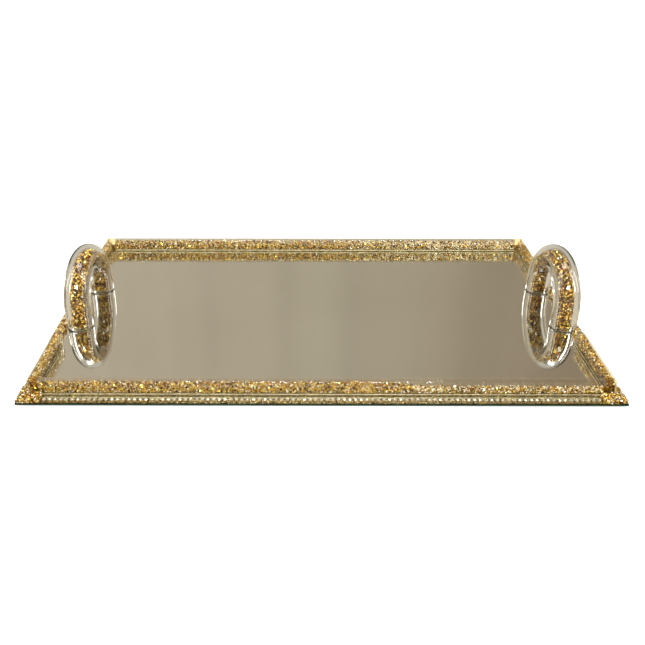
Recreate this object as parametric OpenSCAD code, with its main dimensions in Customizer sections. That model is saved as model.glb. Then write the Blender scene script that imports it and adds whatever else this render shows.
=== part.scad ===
// Dresser vanity tray: a mirror plate with a rim of clear tubes filled with crushed
// crystal, a rhinestone chain along its edge and two clear arched carry handles.
// Millimetres, +Z up. The origin is the middle of the footprint, on the table.

/* [Mirror plate] */
// Length of the glass plate along X
plate_l = 450; // [380:1:500]
// Depth of the glass plate along Y
plate_d = 287; // [240:1:320]
// Thickness of the glass
glass_t = 2; // [2:0.5:5]
// Width of the ground bevel around the glass edges
bevel = 0.5; // [0.3:0.1:1]
// Thickness of the silver coat under the glass
coat_t = 0.2; // [0.2:0.1:0.5]
// Thickness of the felt backing sheet
backing_t = 0.6; // [0.5:0.1:2]
// Height of the foot pads
pad_h = 1.6; // [1:0.1:4]
// Diameter of the foot pads
pad_d = 16; // [8:1:24]

/* [Rim] */
// Width of a rim tube
rim_w = 6; // [5:0.5:8]
// Height of a rim tube
rim_h = 11.6; // [9:0.1:14]
// Wall of a rim tube
rim_wall = 0.8; // [0.8:0.1:1.5]
// Height of the crushed crystal inside a rim tube
fill_h = 9.6; // [4:0.1:12]
// Glass ledge outside the rim at the front
front_ledge = 11.1; // [8:0.1:14]
// Glass ledge outside the rim at the back
back_ledge = 6.9; // [6:0.1:14]
// Glass ledge outside the rim at both ends
end_ledge = 6.9; // [6:0.1:10]
// Thickness of the clear adhesive under the rim
glue_t = 0.2; // [0.1:0.1:0.5]
// Length of a solid corner post along X
post_l = 8; // [7:0.5:12]
// Radius of a corner post's outer edge
post_r = 2; // [1:0.5:3]
// Front edge of the break in the end rims, measured from the handle's middle
break_front = 65; // [58:1:80]
// Back edge of the break in the end rims, measured from the handle's middle
break_back = 60; // [58:1:80]
// Length of the clear plug in each open tube end
plug_l = 3; // [2:0.5:5]

/* [Rhinestone chain] */
// Spacing of the stones
stone_pitch = 4.15; // [4:0.05:5]
// Diameter of a stone
stone_d = 3; // [2.5:0.1:3.4]
// Height of a stone
stone_h = 1.5; // [1:0.1:2]
// Diameter of a cup
cup_d = 3.5; // [3:0.1:3.8]
// Height of a cup
cup_h = 1; // [1:0.1:2]
// Distance from the glass edge to the middle of the cups
chain_inset = 3.2; // [2.2:0.1:4]
// Height of the band that links the cups
band_h = 0.5; // [0.3:0.1:1]

/* [Loose crystal] */
// Length of a corner heap along X
heap_x = 19; // [12:1:30]
// Length of a corner heap along Y
heap_y = 21; // [14:1:40]
// Height of the heaps
heap_h = 3.6; // [2:0.1:5]
// Gap between the heaps and their neighbours
heap_gap = 0.3; // [0.2:0.1:1]

/* [Handles] */
// Diameter of the clear handle tube
handle_d = 22.5; // [18:0.5:24]
// Diameter of its bore
handle_bore = 13; // [8:0.2:14]
// Radius of the arch, to the middle of the tube
arch_r = 34.8; // [32:0.2:40]
// Height of the straight legs
leg_h = 11.1; // [8:0.1:20]
// Distance from the plate's left end to the left handle's middle
left_inset = 20.1; // [18:0.1:24]
// Distance from the plate's right end to the right handle's middle
right_inset = 14.1; // [14:0.1:24]
// Offset of the handles behind the plate's middle
handle_y = 7.2; // [0:0.1:10]
// Angle by which the far feet are turned in
toe_in = 1.8; // [0:0.1:4]
// Thickness of the adhesive disc under a foot
foot_glue_t = 0.3; // [0.2:0.1:0.6]
// Thickness of the plug that closes a foot
foot_plug_t = 0.6; // [0.5:0.1:4]

/* [Hidden] */
$fn = 64;

// Running clearance of what is pushed into a tube
slip = 0.05;
// Heights of the layers
backing_z = pad_h;
coat_z = backing_z + backing_t;
glass_z = coat_z + coat_t;
top_z = glass_z + glass_t;
rim_z = top_z + glue_t;
leg_z = top_z + foot_glue_t;
// Faces of the rim
rim_x = plate_l / 2 - end_ledge;
rim_front = -plate_d / 2 + front_ledge;
rim_back = plate_d / 2 - back_ledge;
// Ends of the long tubes and of the broken end tubes
long_x = rim_x - post_l;
break_lo = handle_y - break_front;
break_hi = handle_y + break_back;
// Straight runs of the chain
chain_x = plate_l / 2 - heap_x;
chain_lo = -plate_d / 2 + heap_y;
chain_hi = plate_d / 2 - heap_y;

// ---- plate ----

module plate_slab(inset, thickness) {
    translate([inset - plate_l / 2, inset - plate_d / 2, 0])
        cube([plate_l - 2 * inset, plate_d - 2 * inset, thickness]);
}

// A long square bar turned on its edge, which cuts one bevel along X
module bevel_cutter(length, y, z) {
    translate([0, y, z])
        rotate([45, 0, 0])
            cube([length + 2, bevel * sqrt(2), bevel * sqrt(2)], center = true);
}

module foot_pads() {
    pad_x = plate_l / 2 - 40;
    pad_y = plate_d / 2 - 35;
    color("dimgray")
        for (x = [-pad_x, 0, pad_x], y = [-pad_y, pad_y])
            translate([x, y, 0])
                cylinder(d = pad_d, h = pad_h);
}

module backing_sheet() {
    color("black")
        translate([0, 0, backing_z])
            plate_slab(2, backing_t);
}

module silver_coat() {
    color("silver")
        translate([0, 0, coat_z])
            plate_slab(bevel, coat_t);
}

module mirror_glass() {
    color("darkseagreen")
        difference() {
            translate([0, 0, glass_z])
                plate_slab(0, glass_t);
            for (side = [-1, 1], z = [glass_z, top_z]) {
                bevel_cutter(plate_l, side * plate_d / 2, z);
                rotate([0, 0, 90])
                    bevel_cutter(plate_d, side * plate_l / 2, z);
            }
        }
}

// ---- rim ----

// A box from one corner, given as [x, y], to the other, standing on the height z
module block(low, high, z, height) {
    translate([low[0], low[1], z])
        cube([high[0] - low[0], high[1] - low[1], height]);
}

// Footprints of the six rim tubes, each as [low corner, high corner]
front_run = [[-long_x, rim_front], [long_x, rim_front + rim_w]];
back_run = [[-long_x, rim_back - rim_w], [long_x, rim_back]];
left_front_run = [[-rim_x, rim_front + rim_w], [rim_w - rim_x, break_lo]];
left_back_run = [[-rim_x, break_hi], [rim_w - rim_x, rim_back - rim_w]];
right_front_run = [[rim_x - rim_w, rim_front + rim_w], [rim_x, break_lo]];
right_back_run = [[rim_x - rim_w, break_hi], [rim_x, rim_back - rim_w]];
rim_runs = [
    front_run, back_run, left_front_run, left_back_run, right_front_run, right_back_run
];

// 1 across the tube's run and 0 along it
function across(run) = run[1][0] - run[0][0] > run[1][1] - run[0][1] ? [0, 1] : [1, 0];
function along(run) = [1, 1] - across(run);

module rim_tube(run) {
    wall = rim_wall * across(run);
    reach = along(run);
    color("whitesmoke")
        difference() {
            block(run[0], run[1], rim_z, rim_h);
            block(run[0] + wall - reach, run[1] - wall + reach,
                  rim_z + rim_wall, rim_h - 2 * rim_wall);
        }
}

// front_cut and back_cut leave room for an end plug
module rim_fill(run, front_cut = 0, back_cut = 0) {
    side = (rim_wall + slip) * across(run);
    color("goldenrod")
        block(run[0] + side + (front_cut + slip) * along(run),
              run[1] - side - (back_cut + slip) * along(run),
              rim_z + rim_wall + slip, fill_h);
}

module front_rim_tube() rim_tube(front_run);
module back_rim_tube() rim_tube(back_run);
module left_front_rim_tube() rim_tube(left_front_run);
module left_back_rim_tube() rim_tube(left_back_run);
module right_front_rim_tube() rim_tube(right_front_run);
module right_back_rim_tube() rim_tube(right_back_run);

module front_rim_crystals() rim_fill(front_run);
module back_rim_crystals() rim_fill(back_run);
module left_front_rim_crystals() rim_fill(left_front_run, back_cut = plug_l);
module left_back_rim_crystals() rim_fill(left_back_run, front_cut = plug_l);
module right_front_rim_crystals() rim_fill(right_front_run, back_cut = plug_l);
module right_back_rim_crystals() rim_fill(right_back_run, front_cut = plug_l);

module rim_glue() {
    inset = 0.4;
    color("gainsboro")
        for (run = rim_runs)
            block(run[0] + [inset, inset], run[1] - [inset, inset], top_z, glue_t);
}

// A corner post with its outer upright edge rounded; sx and sy give its corner
module corner_post(sx, sy) {
    corner_y = sy < 0 ? rim_front : rim_back;
    color("white")
        translate([sx * rim_x, corner_y, top_z])
            mirror([sx < 0 ? 0 : 1, 0, 0])
                mirror([0, sy < 0 ? 0 : 1, 0])
                    linear_extrude(rim_h + glue_t)
                        union() {
                            translate([post_r, post_r])
                                circle(post_r);
                            translate([post_r, 0])
                                square([post_l - post_r, rim_w]);
                            translate([0, post_r])
                                square([post_l - post_r, rim_w - post_r]);
                        }
}

module front_left_post() corner_post(-1, -1);
module front_right_post() corner_post(1, -1);
module back_left_post() corner_post(-1, 1);
module back_right_post() corner_post(1, 1);

module rim_end_plugs() {
    bore_w = rim_w - 2 * rim_wall - 2 * slip;
    bore_h = rim_h - 2 * rim_wall - 2 * slip;
    color("white")
        for (side = [-1, 1], y = [break_lo - plug_l / 2, break_hi + plug_l / 2])
            translate([side * (rim_x - rim_w / 2), y, rim_z + rim_h / 2])
                cube([bore_w, plug_l, bore_h], center = true);
}

// ---- rhinestone chain ----

// How many stones fit on a run of this length, and where each one stands
function stone_count(length) = floor(length / stone_pitch);
function stone_at(length, i) = (i - (stone_count(length) - 1) / 2) * stone_pitch;

// The end runs of the chain, in front of the break and behind it
end_runs = [[chain_lo, break_lo], [break_hi, chain_hi]];

// A straight run of cups on a thin band, centred on the origin, along X
module chain_run(length) {
    span = (stone_count(length) - 1) * stone_pitch;
    translate([-span / 2, -0.6, 0])
        cube([span, 1.2, band_h]);
    for (i = [0:stone_count(length) - 1])
        translate([stone_at(length, i), 0, 0])
            cylinder(d = cup_d, h = cup_h, $fn = 24);
}

module stone_run(length) {
    for (i = [0:stone_count(length) - 1])
        translate([stone_at(length, i), 0, cup_h])
            rotate([0, 0, 22.5])
                cylinder(d = stone_d, h = stone_h, $fn = 8);
}

// Places its children on the front (-1) or the back (1) ledge
module on_long_ledge(sy) {
    translate([0, sy * (plate_d / 2 - chain_inset), top_z])
        children();
}

// Places its children on one run of the left (-1) or the right (1) ledge
module on_end_ledge(sx, run) {
    translate([sx * (plate_l / 2 - chain_inset), (run[0] + run[1]) / 2, top_z])
        rotate([0, 0, 90])
            children();
}

module front_chain() color("gold") on_long_ledge(-1) chain_run(2 * chain_x);
module back_chain() color("gold") on_long_ledge(1) chain_run(2 * chain_x);

module end_chain(sx) {
    color("gold")
        for (run = end_runs)
            on_end_ledge(sx, run)
                chain_run(run[1] - run[0]);
}

module left_chain() end_chain(-1);
module right_chain() end_chain(1);

module front_stones() color("azure") on_long_ledge(-1) stone_run(2 * chain_x);
module back_stones() color("azure") on_long_ledge(1) stone_run(2 * chain_x);

module end_stones(sx) {
    color("azure")
        for (run = end_runs)
            on_end_ledge(sx, run)
                stone_run(run[1] - run[0]);
}

module left_stones() end_stones(-1);
module right_stones() end_stones(1);

// ---- loose crystal glued on the ledges ----

// An L around one corner, outside the rim
module corner_heap(sx, sy) {
    ledge = sy < 0 ? front_ledge : back_ledge;
    deep = ledge - 2 * heap_gap;
    wide = end_ledge - 2 * heap_gap;
    color("orange")
        translate([sx * (plate_l / 2 - heap_gap), sy * (plate_d / 2 - heap_gap), top_z])
            mirror([sx < 0 ? 0 : 1, 0, 0])
                mirror([0, sy < 0 ? 0 : 1, 0]) {
                    cube([heap_x - 2 * heap_gap, deep, heap_h]);
                    cube([wide, heap_y - 2 * heap_gap, heap_h]);
                }
}

module front_left_heap() corner_heap(-1, -1);
module front_right_heap() corner_heap(1, -1);
module back_left_heap() corner_heap(-1, 1);
module back_right_heap() corner_heap(1, 1);

// ---- handles ----

// Puts a handle, which stands at the origin, in its place on the glass
module at_handle(side) {
    inset = side < 0 ? left_inset : right_inset;
    translate([side * (plate_l / 2 - inset), handle_y, 0])
        rotate([0, 0, side * toe_in])
            children();
}

// A strip of heaped crystal on the end ledge, cut clear of the handle's feet
module foot_heap(side) {
    outer = plate_l / 2 - heap_gap;
    inner = plate_l / 2 - 8.5;
    low_y = break_lo + heap_gap;
    high_y = break_hi - heap_gap;
    color("orange")
        difference() {
            translate([side < 0 ? -outer : inner, low_y, top_z])
                cube([outer - inner, high_y - low_y, heap_h]);
            at_handle(side)
                for (foot = [-1, 1])
                    translate([0, foot * arch_r, top_z - 1])
                        cylinder(d = handle_d + 2 * heap_gap, h = heap_h + 2);
        }
}

module left_foot_heap() foot_heap(-1);
module right_foot_heap() foot_heap(1);

// A round bar bent into an arch on two legs that start at the height z
module arch_bar(diameter, z) {
    bend_z = leg_z + leg_h;
    translate([0, 0, bend_z])
        rotate([90, 0, 90])
            rotate_extrude(angle = 180)
                translate([arch_r, 0])
                    circle(d = diameter);
    for (foot = [-1, 1])
        translate([0, foot * arch_r, z])
            cylinder(d = diameter, h = bend_z - z);
}

module handle_tube(side) {
    color("whitesmoke")
        at_handle(side)
            difference() {
                arch_bar(handle_d, leg_z);
                arch_bar(handle_bore, leg_z - 1);
            }
}

module handle_crystals(side) {
    color("darkgoldenrod")
        at_handle(side)
            arch_bar(handle_bore - 2 * slip, leg_z + foot_plug_t + slip);
}

module handle_plugs(side) {
    color("white")
        at_handle(side)
            for (foot = [-1, 1])
                translate([0, foot * arch_r, leg_z])
                    cylinder(d = handle_bore - 2 * slip, h = foot_plug_t);
}

module handle_glue(side) {
    color("gainsboro")
        at_handle(side)
            for (foot = [-1, 1])
                translate([0, foot * arch_r, top_z])
                    cylinder(d = handle_d - 0.6, h = foot_glue_t);
}

module left_handle_tube() handle_tube(-1);
module right_handle_tube() handle_tube(1);
module left_handle_crystals() handle_crystals(-1);
module right_handle_crystals() handle_crystals(1);
module left_handle_plugs() handle_plugs(-1);
module right_handle_plugs() handle_plugs(1);
module left_handle_glue() handle_glue(-1);
module right_handle_glue() handle_glue(1);

foot_pads();
backing_sheet();
silver_coat();
mirror_glass();
rim_glue();
front_rim_tube();
back_rim_tube();
left_front_rim_tube();
left_back_rim_tube();
right_front_rim_tube();
right_back_rim_tube();
front_rim_crystals();
back_rim_crystals();
left_front_rim_crystals();
left_back_rim_crystals();
right_front_rim_crystals();
right_back_rim_crystals();
front_left_post();
front_right_post();
back_left_post();
back_right_post();
rim_end_plugs();
front_chain();
back_chain();
left_chain();
right_chain();
front_stones();
back_stones();
left_stones();
right_stones();
front_left_heap();
front_right_heap();
back_left_heap();
back_right_heap();
left_foot_heap();
right_foot_heap();
left_handle_tube();
right_handle_tube();
left_handle_crystals();
right_handle_crystals();
left_handle_plugs();
right_handle_plugs();
left_handle_glue();
right_handle_glue();
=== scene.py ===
"""Looks of the dresser vanity tray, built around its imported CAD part.

Everything is in metres, in the part's own frame: +X towards the right handle, +Y to the
back, +Z up, and the origin in the middle of the footprint."""

import math

import bmesh
import bpy
import numpy as np
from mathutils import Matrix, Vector


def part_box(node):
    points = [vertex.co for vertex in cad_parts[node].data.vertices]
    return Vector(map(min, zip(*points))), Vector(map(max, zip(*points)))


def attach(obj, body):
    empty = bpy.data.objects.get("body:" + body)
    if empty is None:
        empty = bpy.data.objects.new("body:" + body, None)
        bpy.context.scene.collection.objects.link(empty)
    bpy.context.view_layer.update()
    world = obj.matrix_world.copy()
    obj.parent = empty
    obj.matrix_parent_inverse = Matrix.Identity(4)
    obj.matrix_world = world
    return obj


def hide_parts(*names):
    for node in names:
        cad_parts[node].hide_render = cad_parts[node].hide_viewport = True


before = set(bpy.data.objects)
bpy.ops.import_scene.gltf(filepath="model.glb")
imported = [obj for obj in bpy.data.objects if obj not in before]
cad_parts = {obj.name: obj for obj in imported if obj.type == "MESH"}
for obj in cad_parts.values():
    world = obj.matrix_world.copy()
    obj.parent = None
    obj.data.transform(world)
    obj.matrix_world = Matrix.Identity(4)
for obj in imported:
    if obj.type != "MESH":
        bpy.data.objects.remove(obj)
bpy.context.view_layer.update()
scene = bpy.context.scene

MM = 0.001
# Air left between a piece and the one that it stands on, so that no two faces coincide
SEAT = 0.02 * MM
# Air between a filling or a plug and the wall round it
CLEARANCE = 0.05 * MM

# Sizes that the CAD part also has
BEVEL = 0.5 * MM
RIM_WALL = 0.8 * MM
PLUG_LENGTH = 3.0 * MM
POST_RADIUS = 2.0 * MM
STONE_PITCH = 4.15 * MM
STONE_RADIUS = 1.5 * MM
CUP_RADIUS = 1.75 * MM
HANDLE_RADIUS = 11.25 * MM
BORE_RADIUS = 6.5 * MM
ARCH_RADIUS = 34.8 * MM
TOE_IN = math.radians(1.8)
FOOT_PLUG = 0.6 * MM
PAD_RADIUS = 8.0 * MM
HEAP_LENGTH = 21.0 * MM
# Where the floor of a rim tube's bore shows through its side, above the tube's underside:
# the band between these heights gets a painted shade, a dark line
SHADE_LINE_FOOT = 0.7 * MM
SHADE_LINE_TOP = 1.2 * MM
# The crystal in the front tube has settled: from here on, along this run, it comes to lose this
# share of its height
SETTLE_START = 45.0 * MM
SETTLE_RUN = 30.0 * MM
SETTLE_SHARE = 0.5
# The crystal in the back tube turns pale along this run, from the middle to the right
PALE_RUN = 110.0 * MM
# Splinters: the pitch of the lattice that they are strewn on, then their smallest and largest reach
RIM_GRAIN = (1.3 * MM, 0.75 * MM, 1.25 * MM)
HEAP_GRAIN = (1.3 * MM, 0.70 * MM, 1.20 * MM)
HANDLE_GRAIN = (1.4 * MM, 0.80 * MM, 1.30 * MM)
# How unevenly the splinters meet a wall, and the top of a heap
WALL_ROUGH = 0.06 * MM
HEAP_ROUGH = 0.2 * MM
# A heap's height at the edge of the plate, as a share, and how far in it reaches its full height
HEAP_EDGE_SHARE = 0.45
HEAP_SLOPE_RUN = 5.0 * MM
# How high the waves are that blur a clear surface a little
RIPPLE = 0.3 * MM
# How many steps a rounded corner takes, and how blunt an edge has to be to be shaded smooth
CORNER_STEPS = 4
SMOOTH_ANGLE = math.radians(35)


# ---- materials ----


def shown(red, green, blue):
    """The linear colour, with alpha, of a colour given as it is shown, from 0 to 255."""
    parts = []
    for value in (red, green, blue):
        v = value / 255
        parts.append(v / 12.92 if v <= 0.04045 else ((v + 0.055) / 1.055) ** 2.4)
    return (*parts, 1.0)


def new_material(name):
    """A material with its node tree, and that tree's Principled shader."""
    material = bpy.data.materials.new(name)
    material.use_nodes = True
    tree = material.node_tree
    return material, tree, tree.nodes["Principled BSDF"]


def add_noise(tree, scale, detail=3.0):
    """A noise over the piece's own coordinates. scale is in waves to the metre."""
    where = tree.nodes.new("ShaderNodeTexCoord")
    noise = tree.nodes.new("ShaderNodeTexNoise")
    noise.inputs["Scale"].default_value = scale
    noise.inputs["Detail"].default_value = detail
    tree.links.new(where.outputs["Object"], noise.inputs["Vector"])
    return noise.outputs["Fac"]


def add_range(tree, value, low, high):
    """value, which runs from 0.3 to 0.7, spread over low to high."""
    spread = tree.nodes.new("ShaderNodeMapRange")
    spread.inputs["From Min"].default_value = 0.3
    spread.inputs["From Max"].default_value = 0.7
    spread.inputs["To Min"].default_value = low
    spread.inputs["To Max"].default_value = high
    tree.links.new(value, spread.inputs["Value"])
    return spread.outputs["Result"]


def add_ramp(tree, value, *stops):
    """A colour ramp. Each stop is (place, colour)."""
    ramp = tree.nodes.new("ShaderNodeValToRGB")
    marks = ramp.color_ramp.elements
    while len(marks) < len(stops):
        marks.new(0.5)
    for mark, (place, colour) in zip(marks, stops):
        mark.position = place
        mark.color = colour
    tree.links.new(value, ramp.inputs["Fac"])
    return ramp.outputs["Color"]


def add_bump(tree, shader, height, strength, distance):
    bump = tree.nodes.new("ShaderNodeBump")
    bump.inputs["Strength"].default_value = strength
    bump.inputs["Distance"].default_value = distance
    tree.links.new(height, bump.inputs["Height"])
    tree.links.new(bump.outputs["Normal"], shader.inputs["Normal"])


def clear_material(name, tint, ior=1.49, roughness=0.0, wave=(90.0, 0.05)):
    """Clear glass or acrylic, with a faint waviness, that lets lamplight through.

    wave is the waves to the metre and how strongly they bend the view."""
    material, tree, shader = new_material(name)
    shader.inputs["Base Color"].default_value = tint
    shader.inputs["Transmission Weight"].default_value = 1.0
    shader.inputs["IOR"].default_value = ior
    shader.inputs["Roughness"].default_value = roughness
    add_bump(tree, shader, add_noise(tree, wave[0], 1.0), wave[1], RIPPLE)
    passing = tree.nodes.new("ShaderNodeBsdfTransparent")
    passing.inputs["Color"].default_value = tint
    path = tree.nodes.new("ShaderNodeLightPath")
    mix = tree.nodes.new("ShaderNodeMixShader")
    tree.links.new(path.outputs["Is Shadow Ray"], mix.inputs["Fac"])
    tree.links.new(shader.outputs["BSDF"], mix.inputs[1])
    tree.links.new(passing.outputs["BSDF"], mix.inputs[2])
    tree.links.new(mix.outputs["Shader"], tree.nodes["Material Output"].inputs["Surface"])
    return material


def thin_material(name, tint, least=0.04):
    """A thin clear wall: it shows what is behind it straight through, under a gloss.

    least is the share of gloss where the wall is looked at squarely."""
    material, tree, shader = new_material(name)
    tree.nodes.remove(shader)
    passing = tree.nodes.new("ShaderNodeBsdfTransparent")
    passing.inputs["Color"].default_value = tint
    gloss = tree.nodes.new("ShaderNodeBsdfAnisotropic")
    gloss.inputs["Roughness"].default_value = 0.02
    gloss.inputs["Color"].default_value = (1, 1, 1, 1)
    slant = tree.nodes.new("ShaderNodeLayerWeight")
    steep = tree.nodes.new("ShaderNodeMath")
    steep.operation = "POWER"
    steep.inputs[1].default_value = 5.0
    share = tree.nodes.new("ShaderNodeMath")
    share.operation = "MULTIPLY_ADD"
    share.inputs[1].default_value = 1 - least
    share.inputs[2].default_value = least
    mix = tree.nodes.new("ShaderNodeMixShader")
    tree.links.new(slant.outputs["Facing"], steep.inputs[0])
    tree.links.new(steep.outputs["Value"], share.inputs[0])
    tree.links.new(share.outputs["Value"], mix.inputs["Fac"])
    tree.links.new(passing.outputs["BSDF"], mix.inputs[1])
    tree.links.new(gloss.outputs["BSDF"], mix.inputs[2])
    tree.links.new(mix.outputs["Shader"], tree.nodes["Material Output"].inputs["Surface"])
    return material


def solid_material(name, dark, light, scale, roughness, metallic=0.0, bump=None):
    """An opaque material whose colour wanders between two tones."""
    material, tree, shader = new_material(name)
    tone = add_noise(tree, scale)
    colour = add_ramp(tree, tone, (0.35, dark), (0.65, light))
    tree.links.new(colour, shader.inputs["Base Color"])
    shader.inputs["Metallic"].default_value = metallic
    tree.links.new(add_range(tree, tone, *roughness), shader.inputs["Roughness"])
    if bump:
        bump_scale, strength, distance = bump
        add_bump(tree, shader, add_noise(tree, bump_scale), strength, distance)
    return material


GLASS = clear_material("float_glass", shown(249, 251, 247), 1.52, wave=(6.0, 0.01))
TUBE = thin_material("clear_tube", shown(253, 252, 248))
TUBE_OUTER = thin_material("tube_outer", shown(214, 209, 188), 0.1)
TUBE_TOP = thin_material("tube_top", shown(242, 238, 226), 0.4)
TUBE_BACK_TOP = thin_material("tube_back_top", shown(242, 238, 226), 0.65)
# Painted highlight: an opaque cream colour on the clear tubes' rounded edges and on two faces of
# each corner post, standing in for the light lines where a clear edge catches the light
TUBE_EDGE_HIGHLIGHT = solid_material(
    "tube_edge_painted_highlight", shown(166, 152, 112), shown(196, 182, 142), 300.0, (0.1, 0.25)
)
# Painted shade: an opaque dark olive line on a rim tube's side, standing in for the shadowed inner
# corner of the bore seen through the clear wall
TUBE_SHADE_LINE = solid_material(
    "tube_painted_shade_line", shown(118, 106, 70), shown(150, 136, 92), 300.0, (0.15, 0.35)
)
POST = thin_material("clear_post", shown(240, 228, 196))
BLOCK = clear_material("clear_block", shown(252, 250, 240))
ACRYLIC = clear_material("handle_acrylic", shown(253, 252, 246), wave=(60.0, 0.12))
EDGE = solid_material(
    "glass_edge", shown(14, 52, 40), shown(30, 76, 60), 60.0, (0.1, 0.2)
)
SILVER = solid_material(
    "silver", shown(240, 240, 236), shown(244, 244, 241), 8.0, (0.0, 0.004), metallic=1.0
)
FELT = solid_material(
    "felt", shown(16, 16, 17), shown(38, 38, 40), 700.0, (0.85, 1.0),
    bump=(1800.0, 0.8, 0.3 * MM),
)
PAD = solid_material(
    "pads", shown(30, 30, 31), shown(46, 46, 47), 400.0, (0.6, 0.8),
    bump=(1200.0, 0.4, 0.1 * MM),
)
GLUE = clear_material("glue", shown(226, 218, 196), 1.45, 0.12, (300.0, 0.4))
# Painted shade as well as a glue joint: the ring under each handle foot is dark olive, standing in
# for the contact shadow where the foot meets the glass
SEAM = solid_material("foot_seam_painted_shade", shown(84, 76, 56), shown(132, 122, 96), 300.0, (0.15, 0.3))
GILT = solid_material(
    "gilt", shown(138, 116, 62), shown(192, 166, 106), 300.0, (0.2, 0.4), metallic=0.9
)
STONE = solid_material(
    "rhinestone", shown(156, 151, 128), shown(200, 194, 172), 500.0, (0.10, 0.22),
    metallic=0.5,
)

# Tones of the crushed crystal: dark side, light side, metallic share, share of the chips
CRYSTAL_TONES = {
    "crystal_yellow": ((226, 184, 58), (255, 232, 120), 0.45, 0.21),
    "crystal_gold": ((196, 150, 52), (238, 200, 100), 0.55, 0.20),
    "crystal_amber": ((150, 98, 18), (206, 150, 42), 0.45, 0.17),
    "crystal_brown": ((34, 19, 5), (90, 56, 16), 0.30, 0.24),
    "crystal_rust": ((126, 60, 16), (184, 100, 36), 0.35, 0.06),
    "crystal_pale": ((240, 230, 198), (255, 253, 242), 0.25, 0.22),
}
CRYSTALS = [
    solid_material(name, shown(*dark), shown(*light), 420.0, (0.03, 0.16), metal)
    for name, (dark, light, metal, share) in CRYSTAL_TONES.items()
]
CRYSTAL_SHARES = np.array([tone[3] for tone in CRYSTAL_TONES.values()])
CRYSTAL_SHARES /= CRYSTAL_SHARES.sum()
# How the mix differs from place to place, tone by tone. The front and left leans are lifted
# towards the yellow and pale tones as painted light, making these tubes look better lit than
# the lamps make them
RIM_MIX_AND_PAINTED_LIGHT = {
    "front": np.array((1.8, 1.2, 0.8, 1.15, 0.9, 0.8)),
    "back": np.array((1.6, 1.3, 1.1, 1.6, 1.1, 0.45)),
    "left": np.array((1.9, 1.5, 0.7, 0.7, 0.7, 1.3)),
    "right": np.array((1.2, 1.3, 1.3, 1.0, 1.2, 0.5)),
}
SETTLED_LEAN = np.array((0.9, 0.8, 0.8, 0.9, 1.0, 1.9))
# Painted shade: the handles' crystal leans to brown and amber, with few pale chips, darkening it to
# make up for the light that reaches the handles from all sides
HANDLE_PAINTED_SHADE_LEAN = (1.0, 0.9, 1.3, 4.0, 0.9, 0.15)
HEAP_LEAN = (1.3, 1.0, 1.1, 1.4, 1.0, 0.9)


# ---- pieces ----


def add_piece(name, points, faces, materials, slot, nodes, picks=None, smooth=False):
    """A mesh piece that rides on the tray and stands for the CAD nodes."""
    mesh = bpy.data.meshes.new(name)
    mesh.from_pydata([tuple(p) for p in points], [], [tuple(f) for f in faces])
    for material in materials:
        mesh.materials.append(material)
    if picks is not None:
        mesh.polygons.foreach_set("material_index", picks)
    work = bmesh.new()
    work.from_mesh(mesh)
    bmesh.ops.recalc_face_normals(work, faces=work.faces)
    work.to_mesh(mesh)
    work.free()
    if smooth:
        mesh.shade_smooth()
        mesh.set_sharp_from_angle(angle=SMOOTH_ANGLE)
    piece = bpy.data.objects.new(name, mesh)
    scene.collection.objects.link(piece)
    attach(piece, "root")
    if nodes:
        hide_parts(*nodes)
    return piece


def joined(parts):
    """Several (points, faces) as one."""
    points, faces = [], []
    for part_points, part_faces in parts:
        shift = len(points)
        points += [tuple(p) for p in part_points]
        faces += [tuple(i + shift for i in face) for face in part_faces]
    return points, faces


def loft(rings, ring_closes=False):
    """Quads between rings of equal length.

    The ends are capped, unless the last ring meets the first."""
    count = len(rings[0])
    points = [p for ring in rings for p in ring]
    faces = []
    for i in range(len(rings) if ring_closes else len(rings) - 1):
        a, b = i * count, (i + 1) % len(rings) * count
        for k in range(count):
            n = (k + 1) % count
            faces.append((a + k, a + n, b + n, b + k))
    if not ring_closes:
        faces.append(tuple(range(count))[::-1])
        faces.append(tuple((len(rings) - 1) * count + k for k in range(count)))
    return points, faces


def rounded(width, height, radii):
    """A rectangle round the origin with rounded corners: the radii from (+, +), anticlockwise."""
    outline = []
    signs = ((1, 1), (-1, 1), (-1, -1), (1, -1))
    for quarter, ((sx, sy), radius) in enumerate(zip(signs, radii)):
        for step in range(CORNER_STEPS + 1):
            angle = math.radians(90 * (quarter + step / CORNER_STEPS))
            outline.append((
                sx * (width / 2 - radius) + radius * math.cos(angle),
                sy * (height / 2 - radius) + radius * math.sin(angle),
            ))
    return outline


def block_mesh(low, high, radius, edge):
    """A block with rounded upright edges and a small bevel round its top and bottom."""
    centre = (low + high) / 2
    size = high - low
    radii = radius if isinstance(radius, tuple) else (radius,) * 4
    rings = []
    for inset, z in ((edge, low.z), (0, low.z + edge), (0, high.z - edge), (edge, high.z)):
        outline = rounded(size.x, size.y, radii)
        shrink_x, shrink_y = 1 - 2 * inset / size.x, 1 - 2 * inset / size.y
        rings.append(
            [(centre.x + u * shrink_x, centre.y + v * shrink_y, z) for u, v in outline]
        )
    return loft(rings)


# ---- crushed crystal ----

SHARD_CORNERS = np.array(
    [[1, 0, 0], [-1, 0, 0], [0, 1, 0], [0, -1, 0], [0, 0, 1], [0, 0, -1]], float
)
SHARD_FACES = np.array(
    [[0, 2, 4], [2, 1, 4], [1, 3, 4], [3, 0, 4], [2, 0, 5], [1, 2, 5], [3, 1, 5], [0, 3, 5]]
)


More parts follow.
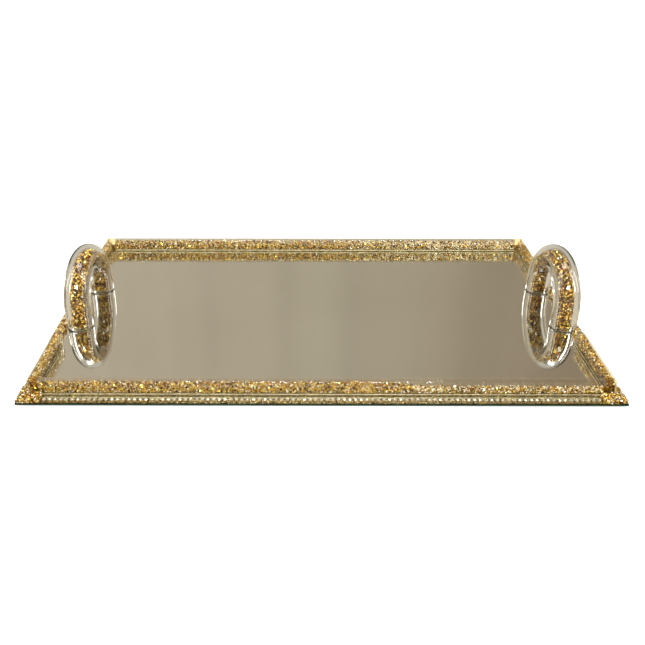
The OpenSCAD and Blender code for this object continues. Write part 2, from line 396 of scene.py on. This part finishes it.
def random_turns(rng, count):
    """Rotation matrices that point every way alike."""
    q = rng.normal(size=(count, 4))
    w, x, y, z = (q / np.linalg.norm(q, axis=1, keepdims=True)).T
    return np.stack([
        np.stack([1 - 2 * (y * y + z * z), 2 * (x * y - z * w), 2 * (x * z + y * w)], -1),
        np.stack([2 * (x * y + z * w), 1 - 2 * (x * x + z * z), 2 * (y * z - x * w)], -1),
        np.stack([2 * (x * z - y * w), 2 * (y * z + x * w), 1 - 2 * (x * x + y * y)], -1),
    ], 1)


def shards_at(rng, centres, smallest, largest):
    """The corners, (count, 6, 3), of irregular splinters round the centres."""
    count = len(centres)
    size = rng.uniform(smallest, largest, (count, 1, 1))
    reach = rng.uniform(0.55, 1.0, (count, 6, 1))
    stretch = rng.uniform(0.6, 1.25, (count, 1, 3))
    local = SHARD_CORNERS * reach * stretch * size
    turned = np.einsum("nij,nkj->nki", random_turns(rng, count), local)
    return centres[:, None, :] + turned


def scattered(rng, low, high, pitch):
    """Points on a jittered lattice that fills a box."""
    axes = []
    for a, b in zip(low, high):
        steps = max(1, round((b - a) / pitch))
        axes.append(a + (np.arange(steps) + 0.5) * (b - a) / steps)
    grid = np.stack(np.meshgrid(*axes, indexing="ij"), -1).reshape(-1, 3)
    return grid + rng.uniform(-0.5, 0.5, grid.shape) * pitch


def add_shards(rng, name, corners, slot_nodes, lean):
    """One piece of all the splinters, each in one tone of the crystal.

    lean raises or lowers the share of each tone, for all the chips or chip by chip."""
    count = len(corners)
    faces = (np.arange(count)[:, None, None] * 6 + SHARD_FACES).reshape(-1, 3)
    shares = CRYSTAL_SHARES * np.broadcast_to(lean, (count, len(CRYSTALS)))
    limits = np.cumsum(shares, axis=1) / shares.sum(axis=1, keepdims=True)
    tones = (rng.random((count, 1)) > limits[:, :-1]).sum(axis=1)
    picks = np.repeat(tones, len(SHARD_FACES)).tolist()
    points = corners.reshape(-1, 3).tolist()
    add_piece(name, points, faces.tolist(), CRYSTALS, "crystal", slot_nodes, picks)


def add_box_fill(seed, node):
    """The crushed crystal inside one rim tube. In the front tube it has settled on the right."""
    rng = np.random.default_rng(seed)
    low, high = (np.array(corner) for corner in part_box(node))
    pitch, smallest, largest = RIM_GRAIN
    centres = scattered(rng, low, high, pitch)
    top = np.tile(high, (len(centres), 1))
    settled = np.zeros((len(centres), 1))
    if node.startswith("front"):
        settled[:, 0] = np.clip((centres[:, 0] - SETTLE_START) / SETTLE_RUN, 0, 1)
        top[:, 2] -= SETTLE_SHARE * settled[:, 0] * (high[2] - low[2])
    above = 0.3 * MM
    keep = centres[:, 2] < top[:, 2] + above
    corners = shards_at(rng, centres[keep], smallest, largest)
    inset = rng.uniform(0, WALL_ROUGH, (len(corners), 1, 1))
    corners = np.clip(corners, low + inset, top[keep][:, None, :] - inset)
    # For the front and left tubes this lean also carries painted light, lifting the chips' tones
    usual = RIM_MIX_AND_PAINTED_LIGHT[node.split("_")[0]]
    paler = settled[keep]
    if node.startswith("back"):
        paler = np.clip(centres[keep, :1] / PALE_RUN, 0, 1)
    lean = usual + (SETTLED_LEAN - usual) * paler
    add_shards(rng, node + "_chips", corners, [node], lean)


def add_heap(seed, node, keep_out=()):
    """Loose crystal heaped over the footprint of a CAD heap.

    keep_out lists the rounds, (x, y, radius), that it lies clear of."""
    rng = np.random.default_rng(seed)
    low, high = (np.array(corner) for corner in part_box(node))
    pitch, smallest, largest = HEAP_GRAIN
    centres = scattered(rng, low, high, pitch)
    keep = np.array([inside(node, c) for c in centres])
    for x, y, radius in keep_out:
        away = np.hypot(centres[:, 0] - x, centres[:, 1] - y)
        keep &= away > radius + 1.0 * MM
    corners = shards_at(rng, centres[keep], smallest, largest)
    inset = rng.uniform(0, HEAP_ROUGH, (len(corners), 1, 1))
    corners = np.clip(corners, low + SEAT, high - inset)
    edge = np.minimum(
        plate_high.x - np.abs(corners[..., 0]), plate_high.y - np.abs(corners[..., 1])
    )
    slope = HEAP_EDGE_SHARE + (1 - HEAP_EDGE_SHARE) * np.clip(edge / HEAP_SLOPE_RUN, 0, 1)
    corners[..., 2] = np.minimum(corners[..., 2], low[2] + (high[2] - low[2]) * slope)
    add_shards(rng, node + "_chips", corners, [node], HEAP_LEAN)


def inside(node, point):
    """Whether a point is over an L-shaped corner heap's own legs."""
    if "foot" in node:
        return True
    x, y = abs(point[0]), abs(point[1])
    ledge_x = plate_high.x - rim_high.x - 0.4 * MM
    front = point[1] < 0
    ledge_y = (rim_low.y - plate_low.y if front else plate_high.y - rim_high.y) - 0.4 * MM
    return x > plate_high.x - ledge_x or y > plate_high.y - ledge_y


# ---- plate ----

plate_low, plate_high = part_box("mirror_glass")
glass_top = plate_high.z


def add_plate():
    """The glass, clear above and below and dark green where its edge is polished."""
    size = plate_high - plate_low
    rings = []
    for inset, z in (
        (BEVEL, plate_low.z),
        (0, plate_low.z + BEVEL),
        (0, glass_top - BEVEL),
        (BEVEL, glass_top),
    ):
        corner = 1.2 * MM - inset
        outline = rounded(size.x - 2 * inset, size.y - 2 * inset, (corner,) * 4)
        rings.append([(u, v, z) for u, v in outline])
    points, faces = loft(rings)
    count = len(rings[0])
    middle = range(count, 2 * count)
    picks = [1 if i in middle else 0 for i in range(len(faces))]
    nodes = ["mirror_glass"]
    add_piece("mirror_plate", points, faces, [GLASS, EDGE], "float_glass", nodes, picks)


def add_backs():
    """The silvering, which bites into the glass by a hair, the felt and the pads."""
    low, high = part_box("silver_coat")
    shift = Vector((0.1 * MM, 0.1 * MM, 0))
    raised = Vector((0, 0, 0.05 * MM))
    points, faces = block_mesh(low + shift, high - shift + raised, 0.6 * MM, SEAT)
    add_piece("silvering", points, faces, [SILVER], "silver", ["silver_coat"])
    low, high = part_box("backing_sheet")
    points, faces = block_mesh(low, high, 4 * MM, 0.15 * MM)
    add_piece("felt_backing", points, faces, [FELT], "felt", ["backing_sheet"])
    low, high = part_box("foot_pads")
    radius = PAD_RADIUS
    profile = (
        (radius - 1.5 * MM, 0.2 * MM), (radius - 0.9 * MM, 0), (radius - 0.3 * MM, 0),
        (radius, 0.3 * MM), (radius, high.z - 0.2 * MM), (radius - 0.2 * MM, high.z),
    )
    pads = []
    for x in (low.x + radius, 0, high.x - radius):
        for y in (low.y + radius, high.y - radius):
            pads.append(loft([ring_at(x, y, r, z, 48) for r, z in profile]))
    add_piece("pad_set", *joined(pads), [PAD], "pads", ["foot_pads"], smooth=True)


def ring_at(x, y, radius, z, count, turn=0.0):
    """A level circle of points."""
    return [
        (
            x + radius * math.cos(turn + 2 * math.pi * k / count),
            y + radius * math.sin(turn + 2 * math.pi * k / count),
            z,
        )
        for k in range(count)
    ]


# ---- rim ----

RIM_TUBES = ("front", "back", "left_front", "left_back", "right_front", "right_back")
rim_low = Vector(map(min, *(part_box(f"{run}_rim_tube")[0] for run in RIM_TUBES)))
rim_high = Vector(map(max, *(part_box(f"{run}_rim_tube")[1] for run in RIM_TUBES)))


# The faces round a banded outline, from the top of its right side on
TOP_RIGHT_EDGE = slice(0, 4)
TOP = 4
TOP_LEFT_EDGE = slice(5, 9)
LEFT_SIDE = 9
LEFT_SHADE_LINE = 10
FOOT_LEFT = slice(11, 16)
FOOT_RIGHT = slice(17, 22)
RIGHT_SHADE_LINE = 22
RIGHT_SIDE = 23


def banded(width, height, radius, lift):
    """A rounded outline whose upright sides are also marked at the floor of the bore, for the dark
    line of painted shade.

    lift is how far its own foot is above the tube's. The marks stay above the rounding."""
    outline = rounded(width, height, (radius,) * 4)
    straight = radius - height / 2
    marks = [
        max(SHADE_LINE_TOP - height / 2 - lift, straight + 0.12 * MM),
        max(SHADE_LINE_FOOT - height / 2 - lift, straight + 0.05 * MM),
    ]
    left = [(-width / 2, v) for v in marks]
    right = [(width / 2, v) for v in reversed(marks)]
    return outline[:10] + left + outline[10:] + right


def add_rim_tube(run):
    """A clear rectangular tube with rounded edges, open at both ends."""
    low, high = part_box(f"{run}_rim_tube")
    centre, size = (low + high) / 2, high - low
    lies_along_x = size.x > size.y
    start, end = (low.x, high.x) if lies_along_x else (low.y, high.y)
    width = size.y if lies_along_x else size.x
    middle = centre.y if lies_along_x else centre.x
    chamfer, outside, inside_bore = 0.2 * MM, 0.4 * MM, 0.25 * MM
    rings = []
    for narrower, radius, place in (
        (chamfer, outside, start),
        (0, outside, start + chamfer),
        (0, outside, end - chamfer),
        (chamfer, outside, end),
        (RIM_WALL, inside_bore, end),
        (RIM_WALL, inside_bore, start),
    ):
        outline = banded(width - 2 * narrower, size.z - 2 * narrower, radius, narrower)
        if lies_along_x:
            rings.append([(place, middle + u, centre.z + v) for u, v in outline])
        else:
            rings.append([(middle + u, place, centre.z + v) for u, v in outline])
    points, faces = loft(rings, ring_closes=True)
    top = TUBE_BACK_TOP if run == "back" else TUBE_TOP
    looks = [TUBE, TUBE_EDGE_HIGHLIGHT, TUBE_SHADE_LINE, TUBE_OUTER, top]
    window, edge, seam, outer, lid = range(len(looks))
    count = len(rings[0])
    shell = np.full(count, window)
    # Painted highlight: the rounded foot edges, and below one top edge, get cream light lines where
    # the clear edge catches the light
    for part in (FOOT_LEFT, FOOT_RIGHT):
        shell[part] = edge
    # Painted shade: a dark line at the two marks where the bore's floor shows through the sides
    shell[[LEFT_SHADE_LINE, RIGHT_SHADE_LINE]] = seam
    if lies_along_x:
        shell[TOP] = lid
    if run.startswith("left"):
        shell[LEFT_SIDE] = outer
        shell[TOP_LEFT_EDGE] = edge
    else:
        shell[TOP_RIGHT_EDGE] = edge
        if run != "front":
            shell[RIGHT_SIDE] = outer
    # Only the long band of the outer skin, the second of the loft, has these looks
    picks = np.full(len(faces), window)
    picks[count:2 * count] = shell
    name = f"{run}_tube"
    nodes = [f"{run}_rim_tube"]
    picks = picks.tolist()
    add_piece(name, points, faces, looks, "clear_tube", nodes, picks, smooth=True)


def add_posts():
    """The four clear corner pieces, each rounded on its outside edge."""
    for name, quarter in (
        ("back_right_post", 0),
        ("back_left_post", 1),
        ("front_left_post", 2),
        ("front_right_post", 3),
    ):
        low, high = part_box(name)
        gap = Vector((0.03 * MM, 0.03 * MM, 0.03 * MM))
        radii = [0.3 * MM] * 4
        radii[quarter] = POST_RADIUS
        points, faces = block_mesh(low + gap, high - gap, tuple(radii), 0.3 * MM)
        # Two faces get a painted highlight, a cream light line, where the rounded corner catches
        # the light: those in the midst of the rounded corner, on the long upright band, which comes
        # second in the loft
        side = CORNER_STEPS + 1
        highlight_face = 4 * side + side * quarter + 1
        picks = [0] * len(faces)
        picks[highlight_face:highlight_face + 2] = [1, 1]
        looks = [POST, TUBE_EDGE_HIGHLIGHT]
        add_piece(f"{name}_clear", points, faces, looks, "clear_block", [name], picks, True)


def add_rim_plugs():
    """The plugs that close the end tubes next to the handles."""
    plugs = []
    for run in RIM_TUBES[2:]:
        low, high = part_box(f"{run}_rim_tube")
        wall = Vector((RIM_WALL + CLEARANCE, 0, RIM_WALL + CLEARANCE))
        low, high = low + wall, high - wall
        if run.endswith("front"):
            low.y = high.y - PLUG_LENGTH
        else:
            high.y = low.y + PLUG_LENGTH
        plugs.append(block_mesh(low, high, 0.2 * MM, 0.1 * MM))
    name, nodes = "rim_plug_set", ["rim_end_plugs"]
    add_piece(name, *joined(plugs), [BLOCK], "clear_block", nodes, smooth=True)


def add_rim_glue():
    """The thin beds of adhesive under the tubes."""
    beds = []
    for run in RIM_TUBES:
        low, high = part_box(f"{run}_rim_tube")
        inset = Vector((0.4 * MM, 0.4 * MM, 0))
        bed_low = low + inset
        bed_high = high - inset
        bed_low.z, bed_high.z = glass_top + SEAT, low.z - SEAT
        beds.append(block_mesh(bed_low, bed_high, 0.3 * MM, 0.05 * MM))
    add_piece("rim_glue_beds", *joined(beds), [GLUE], "glue", ["rim_glue"])


# ---- rhinestone chain ----


def cup_mesh(x, y):
    """A gold cup with a rolled lip and four claws over the stone."""
    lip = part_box("front_stones")[0].z
    profile = (
        (0.82, glass_top + SEAT), (0.92, glass_top + 0.3 * MM),
        (1.0, lip - 0.25 * MM), (0.97, lip), (0.88, lip - 0.05 * MM),
    )
    rings = [ring_at(x, y, CUP_RADIUS * share, z, 16) for share, z in profile]
    parts = [loft(rings)]
    for claw in range(4):
        angle = math.radians(45 + 90 * claw)
        out = Vector((math.cos(angle), math.sin(angle), 0))
        side = Vector((-out.y, out.x, 0)) * 0.28 * MM
        claw_rings = []
        for reach, z, taper in (
            (0.93, lip - 0.5 * MM, 1.0), (0.88, lip + 0.35 * MM, 0.8), (0.60, lip + 0.85 * MM, 0.5)
        ):
            middle = Vector((x, y, z)) + out * CUP_RADIUS * reach
            thick = out * 0.14 * MM
            claw_rings.append([
                middle - side * taper - thick, middle + side * taper - thick,
                middle + side * taper + thick, middle - side * taper + thick,
            ])
        parts.append(loft(claw_rings))
    return joined(parts)


def stone_mesh(x, y, turn):
    """A round stone, cut with a table, a crown in facets and a belt."""
    low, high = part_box("front_stones")
    height = high.z - low.z
    table = ring_at(x, y, STONE_RADIUS * 0.52, high.z, 8, turn)
    crown = ring_at(x, y, STONE_RADIUS * 0.82, low.z + height * 0.72, 8, turn + math.pi / 8)
    belt = ring_at(x, y, STONE_RADIUS, low.z + height * 0.30, 16, turn)
    foot = ring_at(x, y, STONE_RADIUS * 0.9, low.z + SEAT, 16, turn)
    points = table + crown + belt + foot
    faces = [tuple(range(8)), tuple(range(32, 48))[::-1]]
    for k in range(8):
        n, b = (k + 1) % 8, 16 + 2 * k
        b1, b2 = b + 1, 16 + (2 * k + 2) % 16
        faces += [(k, 8 + k, n), (n, 8 + k, 8 + n)]
        faces += [(8 + k, b, b1), (8 + k, b1, b2), (8 + k, b2, 8 + n)]
    for k in range(16):
        n = (k + 1) % 16
        faces.append((16 + k, 32 + k, 32 + n, 16 + n))
    return points, faces


def run_places(low, high):
    """The stones' middles on one straight run, given the box of the run's stones."""
    reach = STONE_RADIUS * math.cos(math.pi / 8)
    along_x = high.x - low.x > high.y - low.y
    start, end = (low.x, high.x) if along_x else (low.y, high.y)
    count = round((end - start - 2 * reach) / STONE_PITCH) + 1
    middle = (low.y + high.y) / 2 if along_x else (low.x + high.x) / 2
    places = []
    for k in range(count):
        at = (start + end) / 2 + (k - (count - 1) / 2) * STONE_PITCH
        places.append((at, middle) if along_x else (middle, at))
    return places


def end_places(side):
    """The stones' middles on both runs of one end."""
    low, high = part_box(f"{side}_stones")
    front_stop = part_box(f"{side}_front_rim_tube")[1].y
    back_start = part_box(f"{side}_back_rim_tube")[0].y
    places = []
    for start, end in (
        (plate_low.y + HEAP_LENGTH, front_stop),
        (back_start, plate_high.y - HEAP_LENGTH),
    ):
        count = math.floor((end - start) / STONE_PITCH)
        for k in range(count):
            at = (start + end) / 2 + (k - (count - 1) / 2) * STONE_PITCH
            places.append(((low.x + high.x) / 2, at))
    return places


def link_mesh(a, b):
    """The thin band between two cups."""
    low = Vector((min(a[0], b[0]), min(a[1], b[1]), glass_top + 0.1 * MM))
    high = Vector((max(a[0], b[0]), max(a[1], b[1]), glass_top + 0.5 * MM))
    if high.x > low.x + MM:
        low.y, high.y = low.y - 0.5 * MM, high.y + 0.5 * MM
    else:
        low.x, high.x = low.x - 0.5 * MM, high.x + 0.5 * MM
    return block_mesh(low, high, 0.1 * MM, 0.05 * MM)


def add_chain(seed, name, places):
    rng = np.random.default_rng(seed)
    turns = rng.uniform(0, math.pi / 4, len(places))
    cups = [cup_mesh(*place) for place in places]
    links = [
        link_mesh(a, b)
        for a, b in zip(places, places[1:])
        if math.dist(a, b) < 1.5 * STONE_PITCH
    ]
    stones = [stone_mesh(*place, turn) for place, turn in zip(places, turns)]
    add_piece(f"{name}_cups", *joined(cups + links), [GILT], "gilt", [f"{name}_chain"])
    nodes = [f"{name}_stones"]
    add_piece(f"{name}_brilliants", *joined(stones), [STONE], "rhinestone", nodes)


# ---- handles ----


class Handle:
    """Where one arched handle stands, and the way from straight to bent."""

    def __init__(self, side):
        self.side = side
        low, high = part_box(f"{side}_handle_tube")
        self.x, self.y = (low.x + high.x) / 2, (low.y + high.y) / 2
        self.foot_z = low.z
        self.bend_z = high.z - ARCH_RADIUS - HANDLE_RADIUS
        self.leg = self.bend_z - self.foot_z
        self.length = 2 * self.leg + math.pi * ARCH_RADIUS
        self.turn = TOE_IN if side == "right" else -TOE_IN

    def bent(self, points):
        """Points (along the bar, sideways, outwards) in the tray's frame."""
        s, u, v = np.moveaxis(np.asarray(points, float), -1, 0)
        angle = np.clip((s - self.leg) / ARCH_RADIUS, 0, math.pi)
        rise = np.minimum(s - self.leg, 0) + np.minimum(self.length - self.leg - s, 0)
        reach = ARCH_RADIUS + v
        y = -reach * np.cos(angle)
        z = self.bend_z + reach * np.sin(angle) + rise
        cos, sin = math.cos(self.turn), math.sin(self.turn)
        return np.stack([self.x + u * cos - y * sin, self.y + u * sin + y * cos, z], -1)

    def feet(self):
        for end in (0.0, self.length):
            x, y, z = self.bent((end, 0, 0))
            yield float(x), float(y)

    def ring(self, s, radius, count=64):
        angles = np.arange(count) * 2 * math.pi / count
        flat = np.stack([np.full(count, s), radius * np.cos(angles), radius * np.sin(angles)], -1)
        return self.bent(flat).tolist()

    def add_tube(self):
        """The thick clear tube, swept along the arch, with softened ends."""
        soft = 0.35 * MM
        arch_steps = 84
        places = [soft, self.leg * 0.5]
        places += [self.leg + math.pi * ARCH_RADIUS * k / arch_steps for k in range(arch_steps + 1)]
        places += [self.length - self.leg * 0.5, self.length - soft]
        rings = [self.ring(0, HANDLE_RADIUS - soft)]
        rings += [self.ring(s, HANDLE_RADIUS) for s in places]
        rings += [self.ring(self.length, HANDLE_RADIUS - soft)]
        rings += [self.ring(self.length, BORE_RADIUS)]
        rings += [self.ring(s, BORE_RADIUS) for s in reversed(places)]
        rings += [self.ring(0, BORE_RADIUS)]
        points, faces = loft(rings, ring_closes=True)
        node = f"{self.side}_handle_tube"
        name = f"{self.side}_handle_arch"
        add_piece(name, points, faces, [ACRYLIC], "handle_acrylic", [node], smooth=True)

    def add_core(self, seed):
        """The crushed crystal in the bore."""
        rng = np.random.default_rng(seed)
        radius = BORE_RADIUS - CLEARANCE
        start = FOOT_PLUG + CLEARANCE
        low, high = (start, -radius, -radius), (self.length - start, radius, radius)
        pitch, smallest, largest = HANDLE_GRAIN
        centres = scattered(rng, low, high, pitch)
        centres = centres[np.hypot(centres[:, 1], centres[:, 2]) < radius]
        corners = shards_at(rng, centres, smallest, largest)
        inset = rng.uniform(0, WALL_ROUGH, (len(corners), 1))
        away = np.hypot(corners[..., 1], corners[..., 2])
        pull = np.minimum(1, (radius - inset) / np.maximum(away, 1e-9))
        corners[..., 1:] *= pull[..., None]
        corners[..., 0] = np.clip(corners[..., 0], start, self.length - start)
        node = f"{self.side}_handle_crystals"
        # The handles' lean darkens these chips as painted shade
        add_shards(rng, f"{node}_chips", self.bent(corners), [node], HANDLE_PAINTED_SHADE_LEAN)

    def add_ends(self):
        """The plugs in the bore and the adhesive under the feet."""
        plugs, seams = [], []
        for x, y in self.feet():
            profile = (
                (BORE_RADIUS - 0.15 * MM, self.foot_z + SEAT),
                (BORE_RADIUS - CLEARANCE, self.foot_z + 0.15 * MM),
                (BORE_RADIUS - CLEARANCE, self.foot_z + FOOT_PLUG - 0.1 * MM),
                (BORE_RADIUS - 0.15 * MM, self.foot_z + FOOT_PLUG),
            )
            plugs.append(loft([ring_at(x, y, r, z, 32) for r, z in profile]))
            # The glue ring under the foot, coloured dark as painted contact shadow
            radius = HANDLE_RADIUS - 0.3 * MM
            profile = (
                (radius, glass_top + SEAT), (radius - 0.15 * MM, (glass_top + self.foot_z) / 2),
                (radius, self.foot_z - SEAT),
            )
            seams.append(loft([ring_at(x, y, r, z, 64) for r, z in profile]))
        node = f"{self.side}_handle_plugs"
        add_piece(f"{node}_clear", *joined(plugs), [BLOCK], "clear_block", [node], smooth=True)
        node = f"{self.side}_handle_glue"
        add_piece(f"{node}_seams", *joined(seams), [SEAM], "glue", [node], smooth=True)


# ---- studio ----


def add_camera():
    data = bpy.data.cameras.new("camera")
    data.sensor_width = 36
    data.lens = 40.92
    data.shift_x = 0.0403
    data.clip_start = 0.01
    camera = bpy.data.objects.new("camera", data)
    camera.location = (-0.0170, -0.5798, glass_top + 0.3155)
    looks_down, turned = 29.53, 0.003
    camera.rotation_euler = (math.radians(90 - looks_down), 0, turned)
    scene.collection.objects.link(camera)
    scene.camera = camera


def add_lamp(name, place, size, power):
    """A soft box that faces the tray."""
    data = bpy.data.lights.new(name, "AREA")
    data.shape = "RECTANGLE"
    data.size, data.size_y = size
    data.energy = power
    lamp = bpy.data.objects.new(name, data)
    lamp.location = place
    lamp.rotation_euler = (-Vector(place)).to_track_quat("-Z", "Y").to_euler()
    scene.collection.objects.link(lamp)


def stage_mesh(name, points, faces, material):
    mesh = bpy.data.meshes.new(name)
    mesh.from_pydata(points, [], faces)
    mesh.materials.append(material)
    thing = bpy.data.objects.new(name, mesh)
    scene.collection.objects.link(thing)
    return thing


def add_floor():
    """A pale floor: white where it is seen, and softer where it lights the glass."""
    material, tree, shader = new_material("floor")
    shader.inputs["Base Color"].default_value = (0.5, 0.5, 0.5, 1)
    shader.inputs["Roughness"].default_value = 1.0
    shader.inputs["Specular IOR Level"].default_value = 0.0
    shader.inputs["Emission Color"].default_value = (1, 1, 1, 1)
    shader.inputs["Emission Strength"].default_value = 0.85
    soft = tree.nodes.new("ShaderNodeEmission")
    soft.inputs["Color"].default_value = (0.62, 0.57, 0.46, 1)
    path = tree.nodes.new("ShaderNodeLightPath")
    mix = tree.nodes.new("ShaderNodeMixShader")
    tree.links.new(path.outputs["Is Camera Ray"], mix.inputs["Fac"])
    tree.links.new(soft.outputs["Emission"], mix.inputs[1])
    tree.links.new(shader.outputs["BSDF"], mix.inputs[2])
    tree.links.new(mix.outputs["Shader"], tree.nodes["Material Output"].inputs["Surface"])
    half, z = 12.0, -0.2 * MM
    corners = [(-half, -half, z), (half, -half, z), (half, half, z), (-half, half, z)]
    stage_mesh("floor", corners, [(0, 1, 2, 3)], material)


def add_curtain():
    """A plain beige curtain round the set, seen only in the mirror and in the gloss."""
    radius, low, high, count = 3.0, 0.85, 3.4, 96
    points = ring_at(0, 0, radius, low, count) + ring_at(0, 0, radius, high, count)
    faces = [(k, (k + 1) % count, count + (k + 1) % count, count + k) for k in range(count)]
    material, tree, shader = new_material("curtain")
    where = tree.nodes.new("ShaderNodeTexCoord")
    parts = tree.nodes.new("ShaderNodeSeparateXYZ")
    tree.links.new(where.outputs["Object"], parts.inputs["Vector"])
    across = tree.nodes.new("ShaderNodeMapRange")
    across.inputs["From Min"].default_value = -1.5
    across.inputs["From Max"].default_value = 1.8
    tree.links.new(parts.outputs["X"], across.inputs["Value"])
    colour = add_ramp(
        tree, across.outputs["Result"],
        (0.0, (0.51, 0.43, 0.335, 1)), (0.5, (0.455, 0.395, 0.303, 1)),
        (1.0, (0.26, 0.187, 0.122, 1)),
    )
    stretch = tree.nodes.new("ShaderNodeMapping")
    stretch.inputs["Scale"].default_value = (3.0, 3.0, 0.1)
    tree.links.new(where.outputs["Object"], stretch.inputs["Vector"])
    folds = tree.nodes.new("ShaderNodeTexNoise")
    folds.inputs["Scale"].default_value = 1.0
    folds.inputs["Detail"].default_value = 2.0
    tree.links.new(stretch.outputs["Vector"], folds.inputs["Vector"])
    tree.links.new(colour, shader.inputs["Emission Color"])
    strength = add_range(tree, folds.outputs["Fac"], 0.92, 1.08)
    tree.links.new(strength, shader.inputs["Emission Strength"])
    shader.inputs["Base Color"].default_value = (0, 0, 0, 1)
    shader.inputs["Specular IOR Level"].default_value = 0.0
    curtain = stage_mesh("curtain", points, faces, material)
    curtain.visible_camera = False


def set_world():
    world = bpy.data.worlds.new("studio")
    world.use_nodes = True
    sky = world.node_tree.nodes["Background"]
    sky.inputs["Color"].default_value = (1.0, 0.96, 0.88, 1)
    sky.inputs["Strength"].default_value = 0.55
    scene.world = world
    scene.view_settings.view_transform = "Standard"
    scene.cycles.max_bounces = 24
    scene.cycles.transmission_bounces = 20
    scene.cycles.glossy_bounces = 8
    scene.cycles.diffuse_bounces = 3


add_camera()
set_world()
add_floor()
add_curtain()
add_lamp("left_strip", (-1.7, 0.0, 1.0), (0.5, 1.9), 13)
add_lamp("right_strip", (1.7, 0.0, 1.0), (0.5, 1.9), 13)
add_lamp("front", (0.0, -1.95, 1.85), (1.2, 0.4), 92)
add_lamp("top", (0.0, 0.2, 2.6), (1.6, 0.5), 15)

add_plate()
add_backs()
for tube in RIM_TUBES:
    add_rim_tube(tube)
add_posts()
add_rim_plugs()
add_rim_glue()
for number, tube in enumerate(RIM_TUBES):
    add_box_fill(100 + number, f"{tube}_rim_crystals")
add_chain(201, "front", run_places(*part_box("front_stones")))
add_chain(202, "back", run_places(*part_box("back_stones")))
add_chain(203, "left", end_places("left"))
add_chain(204, "right", end_places("right"))
handles = [Handle("left"), Handle("right")]
for number, handle in enumerate(handles):
    handle.add_tube()
    handle.add_core(300 + number)
    handle.add_ends()
    feet = [(x, y, HANDLE_RADIUS) for x, y in handle.feet()]
    add_heap(400 + number, f"{handle.side}_foot_heap", feet)
for number, corner in enumerate(("front_left", "front_right", "back_left", "back_right")):
    add_heap(500 + number, f"{corner}_heap")
